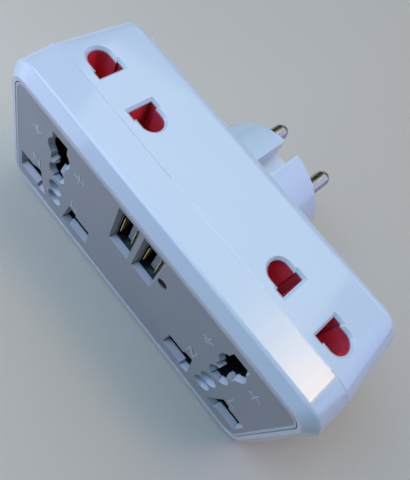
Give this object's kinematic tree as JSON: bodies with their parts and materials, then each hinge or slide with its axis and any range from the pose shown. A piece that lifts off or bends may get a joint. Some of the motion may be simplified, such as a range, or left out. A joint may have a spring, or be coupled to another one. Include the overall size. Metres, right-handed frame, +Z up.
{
  "type": "multi socket adapter",
  "caption": "Plug-in mains adapter: a long white housing with universal sockets and charging ports in a grey front, two-pin slots on top and a round two-pin plug behind.",
  "frame": {"origin": "on the surface it rests on, midway between the front rim and the tips of the plug's pins, in the middle of its length", "axes": "+X along the housing, -Y out of the front panel, +Y along the plug's pins, +Z up"},
  "size_m": [0.1052, 0.0676, 0.0495],
  "materials": {
    "white_shell": "glossy moulded",
    "grey_panel": "satin, finely grained",
    "red_moulding": "moulded",
    "dark_moulding": "moulded",
    "brass": "rolled strip",
    "plated_steel": "nickel plated, turned",
    "port_steel": "plated sheet",
    "port_plastic": "moulded",
    "contact_gold": "gold flashed",
    "indicator_red": "tinted lens, unlit",
    "board": "varnished laminate",
    "can_sleeve": "shrunk sleeve",
    "screw_steel": "zinc plated",
    "ferrite": "sintered",
    "winding_tape": "polyester tape"
  },
  "bodies": {
    "root": {"capacitors": "can_sleeve", "case_screws": "screw_steel", "contact_carrier_left": "dark_moulding", "contact_carrier_right": "dark_moulding", "earth_clip_left": "brass", "earth_clip_right": "brass", "earth_strip": "brass", "front_cover": "white_shell", "front_panel": "grey_panel", "indicator_legs": "plated_steel", "indicator_lens": "indicator_red", "live_clip_left": "brass", "live_clip_right": "brass", "live_pin": "plated_steel", "live_strip": "brass", "neutral_clip_left": "brass", "neutral_clip_right": "brass", "neutral_pin": "plated_steel", "neutral_strip": "brass", "pin_guide_left": "red_moulding", "pin_guide_right": "red_moulding", "pin_retainer": "dark_moulding", "port_board": "board", "port_contacts_left": "contact_gold", "port_contacts_right": "contact_gold", "port_shell_left": "port_steel", "port_shell_right": "port_steel", "port_tongue_left": "port_plastic", "port_tongue_right": "port_plastic", "rear_case": "white_shell", "top_live_clip_left": "brass", "top_live_clip_right": "brass", "top_neutral_clip_left": "brass", "top_neutral_clip_right": "brass", "transformer_core": "ferrite", "transformer_winding": "winding_tape"}
  },
  "joints": []
}
